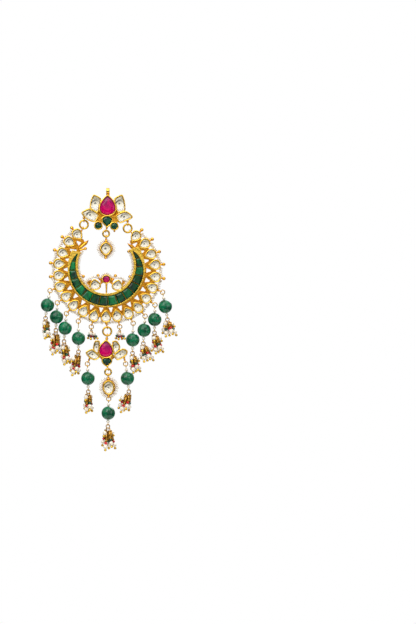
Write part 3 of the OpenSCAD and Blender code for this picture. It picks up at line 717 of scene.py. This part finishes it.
def prongTips(look):
    parts = [ballAt(place(*at), look["innerRadius"]) for at in look["inner"]]
    for i in range(len(fanChart)):
        reach, radius = look["hung"] if firstHung <= i <= lastHung else look["free"]
        parts.append(ballAt(place(*fanPoint(i, reach)), radius))
    for ends in look["ridges"]:
        low, high = (place(*end) for end in ends)
        line = high - low
        stretch = line.length / mm / 2 / look["ridgeRadius"]
        parts.append(ballAt((high + low) / 2, look["ridgeRadius"], None, stretch, line.normalized()))
    return joined(parts, "prongTips", "crescent")


# Knobs on the stems that hold the rings: x, height, radius
knobs = {
    "ear": (
        (-10.64, -5.4, 0.6), (9.0, -7.0, 0.6), (-0.4, -9.85, 0.5), (-0.7, -15.95, 0.68), (-0.8, -22.6, 0.66),
        (-0.85, -23.3, 0.6)),
    "crescent": ((-0.5, -52.9, 0.62),),
    "pendant": (
        (-0.35, -59.6, 0.65), (-0.2, -72.0, 0.55), (0.35, -77.8, 0.68), (0.5, -84.9, 0.6),
        (-8.0, -68.5, 0.55), (7.4, -67.9, 0.55)),
}
for bodyName, places in knobs.items():
    joined([ballAt(place(x, up), radius) for x, up, radius in places], bodyName + "Knobs", bodyName)

fanStones(fanLook)
fanRims(fanLook)
prongTips(prongLook)
print("fan made")


# Set stones: each tier is the share of the width that is left and its rise
stoneGap = 0.06
rimReach = 0.22  # middle of the rim's wire outside the stone's outline


def setStone(name, outline, material, body, slot, node, look):
    stone = newStone(inset(outline, stoneGap), look["low"], look["girdle"], look["tiers"])
    mapStone(stone, middleOf(outline), look["span"])
    return joined([dressed(stone, material)], name, body, [node])


def rimOf(outline, look):
    return dressed(newLip(inset(outline, -rimReach), look["rim"], look["rimDepth"]), gold)


rubyLook = {
    "low": 1.06, "girdle": 2.5, "tiers": ((0.88, 0.5), (0.8, 0.35), (0.72, 0.15)),
    "span": 8.8, "rim": 0.3, "rimDepth": 2.7,
}
leafLook = {
    "low": 1.06, "girdle": 1.9, "tiers": ((0.8, 0.4), (0.72, 0.2)),
    "span": 5, "rim": 0.25, "rimDepth": 2.15,
}
petalLook = {
    "low": 1.06, "girdle": 1.95, "tiers": ((0.82, 0.38), (0.8, 0.14)),
    "span": 6.4, "rim": 0.24, "rimDepth": 2.15, "stoneInset": 0.46, "rimInset": 0.4, "bowSteps": 4,
}
cabochonLook = {
    "places": {"Left": (-4.15, -8.9), "Right": (3.05, -9.15)}, "half": (1.44, 0.95, 1.44), "depth": 1.95,
    "rimRadius": 1.5, "steps": 28, "rows": 16,
}
lotusCorners = [
    [(-6.3, 5.05), (-8.0, -1.05), (-4.3, -3.15), (-2.85, 3.25)],
    [(2.95, 3.2), (4.5, -3.15), (7.95, -2.2), (6.7, 5.05)],
    [(-8.2, -1.2), (-11.8, -3.15), (-9.45, -6.1), (-5.65, -7.35), (-3.8, -4.2)],
    [(8.4, -2.4), (3.8, -4.3), (5.2, -7.8), (8.35, -6.7), (11.5, -5.05)],
]
pendantCorners = [
    [(-5.6, -60.6), (-6.5, -65.0), (-4.1, -66.8), (-3.55, -60.6)],
    [(2.25, -60.75), (2.7, -66.7), (5.2, -65.2), (5.6, -63.0), (4.1, -60.6)],
    [(-7.0, -64.3), (-10.0, -65.9), (-7.4, -68.8), (-5.3, -69.3), (-3.4, -67.9)],
    [(2.7, -67.2), (4.4, -69.4), (8.6, -67.0), (9.0, -65.2), (7.0, -64.0)],
]


def petalStones(corners, name, body, node, look):
    stones = []
    for petal in corners:
        outline = inset(bowedOutline(petal, look["bowSteps"]), look["stoneInset"])
        stone = clearStone(outline, look)
        stones.append(mapStone(stone, middleOf(outline), look["span"]))
    return joined(stones, name, body, [node])


lotusRuby = dropOutline(8.7, 7.1, 28, (0.05, 0.05))
lotusLeaf = dropOutline(4.5, 4.3, 20, (-0.2, -7.0), 180)
pendantRuby = dropOutline(7.3, 6.1, 28, (-0.7, -64.3))
pendantLeaf = dropOutline(3.6, 4.0, 20, (-0.3, -70.05), 180)
haloStone = stretched(roundOutline(2.3, 24, (0.5, -81.6)), 0.95, 1.2)
midStone = stretched(roundOutline(2.2, 24, (-0.7, -19.3), 0.06), 0.95, 1.1)
archLeft = dropOutline(4.3, 4.2, 24, (-5.6, -35.4), 12)
archRight = dropOutline(4.3, 4.2, 24, (4.5, -35.7), -12)
archRuby = roundOutline(1.6, 20, (-0.54, -33.0))
archRubyLook = dict(leafLook, span=3.4, tiers=((0.8, 0.5), (0.7, 0.25)))

petalStones(lotusCorners, "lotusPetals", "ear", "lotus_petals", petalLook)
petalStones(pendantCorners, "pendantPetals", "pendant", "pendant_petals", dict(petalLook, span=5.6))
for row in (
    ("lotusRuby", lotusRuby, rubyRed, "ear", "ruby", "lotus_ruby", rubyLook),
    ("pendantRuby", pendantRuby, rubyRed, "pendant", "ruby", "pendant_ruby", dict(rubyLook, span=7.4)),
    ("archRuby", archRuby, rubyRed, "crescent", "ruby", "arch_ruby", archRubyLook),
    ("lotusLeaf", lotusLeaf, cabochonGreen, "ear", "green_stone", "lotus_leaf", leafLook),
    ("pendantLeaf", pendantLeaf, cabochonGreen, "pendant", "green_stone", "pendant_leaf", leafLook),
    ("haloStone", haloStone, polki, "pendant", "clear_stone", "halo_stone", dict(fanLook, span=5.6)),
    ("midStone", midStone, polki, "ear", "clear_stone", "mid_stone", dict(fanLook, span=7.5)),
    ("archStoneLeft", archLeft, polki, "crescent", "clear_stone", "arch_stone_left", fanLook),
    ("archStoneRight", archRight, polki, "crescent", "clear_stone", "arch_stone_right", fanLook),
):
    setStone(*row)


def cabochon(side, look):
    dome = newBall(1, look["steps"], look["rows"])
    at = place(*look["places"][side], look["depth"])
    dome.data.transform(Matrix.Translation(at) @ Matrix.Diagonal((*look["half"], 1)))
    node = "lotus_cab_" + side.lower()
    return joined([dressed(dome, cabochonGreen)], "cabochon" + side, "ear", [node])


def cabochonRim(side, look):
    return rimOf(roundOutline(look["rimRadius"], look["steps"], look["places"][side]), leafLook)


def petalRims(corners, look):
    return [rimOf(inset(bowedOutline(petal), look["rimInset"]), look) for petal in corners]


cabochon("Left", cabochonLook)
cabochon("Right", cabochonLook)
joined(petalRims(lotusCorners, petalLook) + [
    rimOf(lotusRuby, rubyLook), rimOf(lotusLeaf, leafLook),
    cabochonRim("Left", cabochonLook), cabochonRim("Right", cabochonLook),
], "lotusRims", "ear")
joined([rimOf(midStone, leafLook)], "midRim", "ear")
joined(petalRims(pendantCorners, petalLook) + [
    rimOf(pendantRuby, rubyLook), rimOf(pendantLeaf, leafLook), rimOf(haloStone, leafLook),
], "pendantRims", "pendant")
joined([rimOf(archLeft, leafLook), rimOf(archRight, leafLook), rimOf(archRuby, leafLook)],
       "archRims", "crescent")
print("settings made")


# Calibrated green stones of the inner channel, between a round rim and a shifted inner circle
channel = {
    "centre": Vector((-0.77, -26.8)), "innerRadius": 13.6, "outerRadius": 16.9, "count": 16,
    "from": -117.0, "to": 123.0, "ends": (0.16, 0.66, 0.92),
    "low": 1.06, "girdle": 1.75, "tiers": ((0.82, 0.38), (0.72, 0.22)), "gap": 0.07, "span": 5.0,
    "tones": (0.25, 0.35, 0.45, 0.65, 1.0), "seed": 11,
}


def channelStones(look):
    step = (look["to"] - look["from"]) / look["count"]
    shift = crescentCentre - look["centre"]

    def innerPoint(k):
        turn = look["from"] + k * step
        direction = turned(turn, 1)
        lean = direction.dot(shift)
        reach = -lean + math.sqrt(lean ** 2 - shift.dot(shift) + look["innerRadius"] ** 2)
        return crescentCentre + direction * reach, reach

    def outerPoint(k):
        near = min(k, look["count"] - k)
        taper = look["ends"][near] if near < len(look["ends"]) else 1.0
        low = innerPoint(k)[1]
        return crescentCentre + turned(look["from"] + k * step, low + (look["outerRadius"] - low) * taper)

    chance = random.Random(look["seed"])
    stones = []
    for k in range(look["count"]):
        middle = (outerPoint(k) + outerPoint(k + 1)) / 2
        lift = look["outerRadius"] * (1 - math.cos(math.radians(step / 2)))
        crest = middle + (middle - crescentCentre).normalized() * lift
        outline = [
            outerPoint(k), crest, outerPoint(k + 1),
            innerPoint(k + 1)[0], innerPoint(k + 0.5)[0], innerPoint(k)[0],
        ]
        stone = newStone(inset(outline, look["gap"]), look["low"], look["girdle"], look["tiers"])
        mapStone(stone, middleOf(outline), look["span"])
        stones.append(toneStone(dressed(stone, emerald), grey(chance.choice(look["tones"]))))
    return joined(stones, "channelStones", "crescent", ["channel_stones"])


channelStones(channel)
print("channel made")

# Green beads with a pearl above and below, strung on a wire
beadLook = {
    "radius": 3.05, "sides": 26, "rows": 16, "spin": 47, "pearl": 0.72, "pearlGap": 3.8, "eye": 0.5,
    "lowEye": 5.14,
}
greenBall = newBall(beadLook["radius"], beadLook["sides"], beadLook["rows"], False)
dressed(greenBall, jade)
crescentDrops = [(fanRing(i), Vector((x, up))) for i, x, up in drops["crescent"]]
hungDrops = [(Vector(ring), Vector(bead)) for ring, bead in drops["pendant"]]


def hangBeads(lines, names, nodes, body, pearlsName, pearlsNode, look):
    pearls = []
    for k, ((ring, bead), name, node) in enumerate(zip(lines, names, nodes)):
        line = (bead - ring).normalized()
        turn = Vector((line.x, 0, line.y)).to_track_quat("Z", "Y").to_matrix().to_4x4()
        spin = Matrix.Rotation(math.radians(look["spin"] * k), 4, "Z")
        piece = stamp(greenBall, Matrix.Translation(place(*bead)) @ turn @ spin)
        joined([piece], name, body, [node])
        for side in (-1, 1):
            pearls.append(ballAt(place(*(bead + line * side * look["pearlGap"])), look["pearl"], pearl))
    joined(pearls, pearlsName, body, [pearlsNode])


hangBeads(crescentDrops, ["greenBead" + n.upper() for n in drops["names"]],
          ["bead_" + n for n in drops["names"]], "crescent", "dropPearls", "drop_pearls", beadLook)
hangBeads(hungDrops, ["greenBeadPendantLeft", "greenBeadPendantRight", "greenBeadBottom"],
          ["pendant_bead_left", "pendant_bead_right", "pendant_bead_bottom"],
          "pendant", "pendantPearls", "pendant_pearls", beadLook)
discard(greenBall)
print("beads made")

# Tassels: dangles of a wire, a tube, a seed bead, a pearl and an end ball. A dangle is its place from side
# to side and in depth, its share of the length, and its kind: 0 has a pearl alone, 1 a tube, a seed bead
# and a pearl, 2 a small pearl above a seed bead
tassels = {
    "dangles": (
        (-1, -0.35, 0.84, 1), (-0.5, 1.0, 1.0, 1), (0.0, -1.0, 0.93, 1),
        (0.5, 0.9, 0.86, 1), (1, -0.25, 0.96, 1), (-0.78, 0.75, 0.42, 0), (0.76, -1.1, 0.4, 0),
    ),
    "innerDangles": ((-1, -0.35, 0.95, 2), (-0.35, 1.0, 1.0, 2), (0.35, -1.0, 0.97, 2), (1, 0.3, 0.98, 2)),
    "margin": 0.8, "depth": 1.5, "strand": 0.12, "tube": 0.56, "tubeShare": 0.72, "collarWire": 0.12,
    "seed": 0.74, "seedHalf": 0.85, "seedFlat": 0.8, "pearl": 0.96, "smallPearl": 0.72, "endBall": 0.58,
    "nest": 0.9, "topLoop": 0.34, "topLoopWire": 0.1, "topLoopDrop": 0.3, "eyeWire": 0.18,
    "head": 0.8, "innerHead": 0.4, "headWire": 0.2, "spread": 62, "innerEyeDrop": 1.05, "innerHeadDrop": 0.4,
    # left edge, right edge, lowest point, seed bead colours of the long dangles
    "crescent": (
        (-29.4, -25.3, -60.2, "rgrgd"), (-26.6, -20.6, -67.4, "rrgrg"), (-20.9, -16.1, -71.9, "grrgr"),
        (-17.6, -12.4, -76.7, "rrgdr"), (23.8, 31.9, -59.3, "rgrrg"), (19.9, 25.9, -66.9, "rrggr"),
        (14.3, 21.6, -70.6, "rggrd"), (9.9, 15.6, -75.6, "grrgr"),
    ),
    "inner": ((-9.8, -3.4, -60.3, "gddg"), (2.7, 8.8, -60.4, "gdrg")),
    "pendant": (
        (-11.2, -6.2, -93.5, "grrgd"), (3.9, 10.3, -93.2, "rrgrg"), (-3.3, 4.3, -110.3, "rrggr"),
    ),
}
seedMaterials = {"r": redSeed, "g": greenSeed, "d": darkRedSeed}
headRings = {
    size: dressed(newTorus(tassels[size], tassels["headWire"], 28, 8), antique)
    for size in ("head", "innerHead")
}
eyeRing = dressed(newTorus(beadLook["eye"], tassels["eyeWire"], 24, 8), wireGold)
collar = dressed(newTorus(tassels["tube"], tassels["collarWire"], 14, 6), antique)
topLoop = dressed(newTorus(tassels["topLoop"], tassels["topLoopWire"], 14, 6), wireGold)
tube = dressed(newRod(1, 12), antique)


def dangle(start, end, colour, kind, look):
    line = end - start
    length = line.length / mm
    axis = line.normalized()

    def down(distance):
        return start + axis * distance * mm

    ballDown = length - look["endBall"]
    ballTop = ballDown - look["endBall"] * look["nest"]
    pearlDown = ballTop - look["pearl"]
    seedDown = (ballTop if kind == 2 else pearlDown - look["pearl"]) - look["seed"] * look["seedHalf"]
    tubeEnd = seedDown - look["seed"] * look["nest"]
    tubeTop = tubeEnd * (1 - look["tubeShare"])
    parts = [rodBetween(start, end, look["strand"]), ballAt(down(ballDown), look["endBall"], wireGold)]
    if kind == 2:
        smallDown = seedDown - look["seed"] * look["seedHalf"] - look["smallPearl"]
        parts.append(ballAt(down(smallDown), look["smallPearl"], pearl))
    else:
        parts.append(ballAt(down(pearlDown), look["pearl"], pearl))
    if kind:
        parts.append(ballAt(down(seedDown), look["seed"], seedMaterials[colour], look["seedFlat"], axis))
    if kind == 1:
        low, high = down(tubeEnd), down(tubeTop)
        parts.append(stamp(tube, along(high, low, (look["tube"], look["tube"], (low - high).length / mm))))
        for share in (0.0, 0.5, 1.0):
            parts.append(stamp(collar, along(high.lerp(low, share), low + axis * mm)))
    quarter = Matrix.Rotation(math.radians(90), 4, "Y")
    parts.append(stamp(topLoop, Matrix.Translation(down(look["topLoopDrop"])) @ quarter))
    return parts


def tassel(name, node, eye, row, body, look, dangles="dangles", headSize="head", extra=()):
    left, right, lowest, colours = row
    radius = look[headSize]
    head = Vector((eye.x, eye.y - radius))
    middle, half = (left + right) / 2, (right - left) / 2 - look["margin"]
    drop = head.y - radius - lowest
    parts = [stamp(headRings[headSize], faceOn(place(*head))), *extra]
    colour = iter(colours)
    for side, depth, share, kind in look[dangles]:
        onRing = head + turned(look["spread"] * side, radius)
        end = place(middle + side * half, onRing.y - share * drop, midDepth + depth * look["depth"])
        parts += dangle(place(*onRing), end, next(colour) if kind else "", kind, look)
    return joined(parts, name, body, [node])


def lowEye(ring, bead):
    return bead + (bead - ring).normalized() * beadLook["lowEye"]


for n, (ring, bead), row in zip(drops["names"], crescentDrops, tassels["crescent"]):
    tassel("tassel" + n.upper(), "tassel_" + n, lowEye(ring, bead), row, "crescent", tassels)
for n, (ring, bead), row in zip(("Left", "Right", "Bottom"), hungDrops, tassels["pendant"]):
    node = "tassel_bottom" if n == "Bottom" else "tassel_pendant_" + n.lower()
    tassel("tasselPendant" + n, node, lowEye(ring, bead), row, "pendant", tassels)
for n, index, row in zip(("Left", "Right"), (9, 11), tassels["inner"]):
    eye = fanRing(index) - Vector((0, tassels["innerEyeDrop"]))
    head = eye - Vector((0, tassels["innerHeadDrop"]))
    tassel("tasselInner" + n, "tassel_inner_" + n.lower(), head, row, "crescent", tassels,
           "innerDangles", "innerHead", [stamp(eyeRing, edgeOn(place(*eye)))])
discard(*headRings.values(), eyeRing, collar, topLoop, tube)
print("tassels made")

# Seed pearls: strings laid along lines of the drawing. Stretch draws each seed out across its string,
# and pitch is the step from seed to seed as a multiple of its radius
strings = {
    "jitter": 0.05, "sizes": (0.9, 1.08), "seed": 5,
    "fan": {
        "out": 3.0, "sag": 0.5, "margin": 0.17,
        "depth": 1.35, "radius": 0.45, "stretch": 1.7, "pitch": 2.02,
    },
    "inner": {
        "centre": Vector((-0.8, -26.8)), "reach": 12.15, "turns": ((-122, -38), (38, 127)),
        "depth": 1.5, "radius": 0.36, "stretch": 1.9, "pitch": 2.02,
    },
    "arch": {"depth": 1.6, "radius": 0.4, "stretch": 1.3, "pitch": 2.02},
    "mid": {"out": 1.3, "depth": 0.95, "radius": 0.27, "stretch": 3.2, "pitch": 2.5},
    "halo": {"out": 1.4, "depth": 0.95, "radius": 0.27, "stretch": 3.5, "pitch": 2.4},
}
archLine = [Vector(p) for p in (
    (-9.9, -34.6), (-8.9, -33.0), (-7.4, -32.2), (-5.9, -31.9), (-4.4, -32.3), (-3.0, -32.0), (-2.2, -31.0),
    (-0.54, -30.3), (1.1, -31.0), (1.9, -32.0), (3.3, -32.5), (4.8, -32.2), (6.3, -32.5), (7.8, -33.3),
    (8.7, -34.9))]
seedPearl = dressed(newBall(1, 8, 6), shadedStrungPearl)
chance = random.Random(strings["seed"])


def seedRow(points, look):
    seeds = []
    due = 0.0
    for start, end in zip(points, points[1:]):
        length = (end - start).length
        while due <= length:
            at = start.lerp(end, due / length)
            size = look["radius"] * chance.uniform(*strings["sizes"])
            shake = chance.uniform(-strings["jitter"], strings["jitter"])
            spot = place(at.x + shake, at.y + shake, look["depth"])
            lean = math.atan2(end.y - start.y, end.x - start.x)
            matrix = Matrix.Translation(spot) @ Matrix.Rotation(-lean, 4, "Y")
            seeds.append(stamp(seedPearl, matrix @ Matrix.Diagonal((size, size, size * look["stretch"], 1))))
            due += look["radius"] * look["pitch"]
        due -= length
    return seeds


def ringOf(outline, out):
    points = inset(outline, -out)
    return points + points[:1]


def arcOf(centre, radius, start, end, count=40):
    return [centre + turned(start + (end - start) * k / count, radius) for k in range(count + 1)]


def fanArc(index, look, count=8):
    # from one stone's prong to the next, sagging a little between them
    first, last = fanChart[index], fanChart[index + 1]
    points = []
    for k in range(count + 1):
        share = look["margin"] + (1 - 2 * look["margin"]) * k / count
        out = look["out"] - look["sag"] * math.sin(math.pi * k / count)
        turn = first[0] + (last[0] - first[0]) * share
        points.append(crescentCentre + turned(turn, first[1] + (last[1] - first[1]) * share + out))
    return points


fanSeeds = []
for i in range(len(fanChart) - 1):
    fanSeeds += seedRow(fanArc(i, strings["fan"]), strings["fan"])
joined(fanSeeds, "fanSeedPearls", "crescent")
innerSeeds = []
for ends in strings["inner"]["turns"]:
    innerSeeds += seedRow(arcOf(strings["inner"]["centre"], strings["inner"]["reach"], *ends), strings["inner"])
joined(innerSeeds, "innerSeedPearls", "crescent")
joined(seedRow(archLine, strings["arch"]), "archSeedPearls", "crescent")
for name, outline, body in (("mid", midStone, "ear"), ("halo", haloStone, "pendant")):
    look = strings[name]
    joined(seedRow(ringOf(outline, look["out"]), look), name + "SeedPearls", body)
discard(seedPearl, ball, rod)
print("seed pearls made")

# Stage: a light is its place, size, power and tint
studio = {
    "floorSize": 0.6, "floorHeight": -0.3, "paper": 0.9, "paperRoughness": 0.8, "backdrop": 1.0,
    "room": ((0.1, grey(0.05)), (0.5, grey(0.16)), (0.8, grey(0.7))),
    "target": Vector((0.0451, 0, -0.0477)), "cameraDistance": 0.78, "lens": 100, "sensor": 36,
    "lights": {
        "frontPanel": ((0.05, -1.5, 0.25), 0.8, 1.3, (1.0, 1.0, 1.0)),
        "keyLight": ((-0.3, -0.5, 0.35), 0.5, 3.0, (1.0, 0.98, 0.95)),
        "fillLight": ((0.55, -0.45, 0.05), 0.45, 1.4, (0.97, 0.98, 1.0)),
        "topLight": ((0.05, -0.1, 0.5), 0.6, 2.0, (1.0, 1.0, 1.0)),
        "backLight": ((0.2, 0.5, 0.3), 0.4, 2.0, (1.0, 1.0, 1.0)),
    },
}


def makeFloor(look):
    clearSelection()
    bpy.ops.mesh.primitive_plane_add(size=look["floorSize"], location=(0, 0, look["floorHeight"]))
    floor = bpy.context.object
    floor.name = "paleFloor"
    material, _, shader = newMaterial("palePaper")
    shader.inputs["Base Color"].default_value = grey(look["paper"])
    shader.inputs["Roughness"].default_value = look["paperRoughness"]
    dressed(floor, material)


def makeWorld(look):
    # the view sees white; the metal reflects a room that is dark below and light above
    world = bpy.data.worlds.new("softStudio")
    bpy.context.scene.world = world
    world.use_nodes = True
    tree = world.node_tree
    seen = tree.nodes.new("ShaderNodeLightPath")
    around = tree.nodes.new("ShaderNodeSeparateXYZ")
    tree.links.new(tree.nodes.new("ShaderNodeTexCoord").outputs["Generated"], around.inputs[0])
    height = tree.nodes.new("ShaderNodeMapRange")
    height.inputs["From Min"].default_value = -1
    tree.links.new(around.outputs["Z"], height.inputs["Value"])
    room = ramp(tree, height.outputs[0], look["room"])
    shown = mixColours(tree, seen.outputs["Is Camera Ray"], room, grey(look["backdrop"]))
    tree.links.new(shown, tree.nodes["Background"].inputs["Color"])


def areaLight(name, at, size, energy, tint):
    data = bpy.data.lights.new(name, "AREA")
    data.size = size
    data.energy = energy
    data.color = tint
    light = bpy.data.objects.new(name, data)
    light.location = at
    light.rotation_euler = (studio["target"] - Vector(at)).to_track_quat("-Z", "Y").to_euler()
    light.visible_camera = False
    bpy.context.collection.objects.link(light)


def makeCamera(look):
    data = bpy.data.cameras.new("mainCamera")
    data.lens = look["lens"]
    data.sensor_width = look["sensor"]
    camera = bpy.data.objects.new("mainCamera", data)
    camera.location = look["target"] - Vector((0, look["cameraDistance"], 0))
    camera.rotation_euler = (math.radians(90), 0, 0)
    bpy.context.collection.objects.link(camera)
    bpy.context.scene.camera = camera


makeFloor(studio)
makeWorld(studio)
bpy.context.scene.view_settings.view_transform = "Standard"  # plain colours, so the white ground stays white
for name, settings in studio["lights"].items():
    areaLight(name, *settings)
makeCamera(studio)
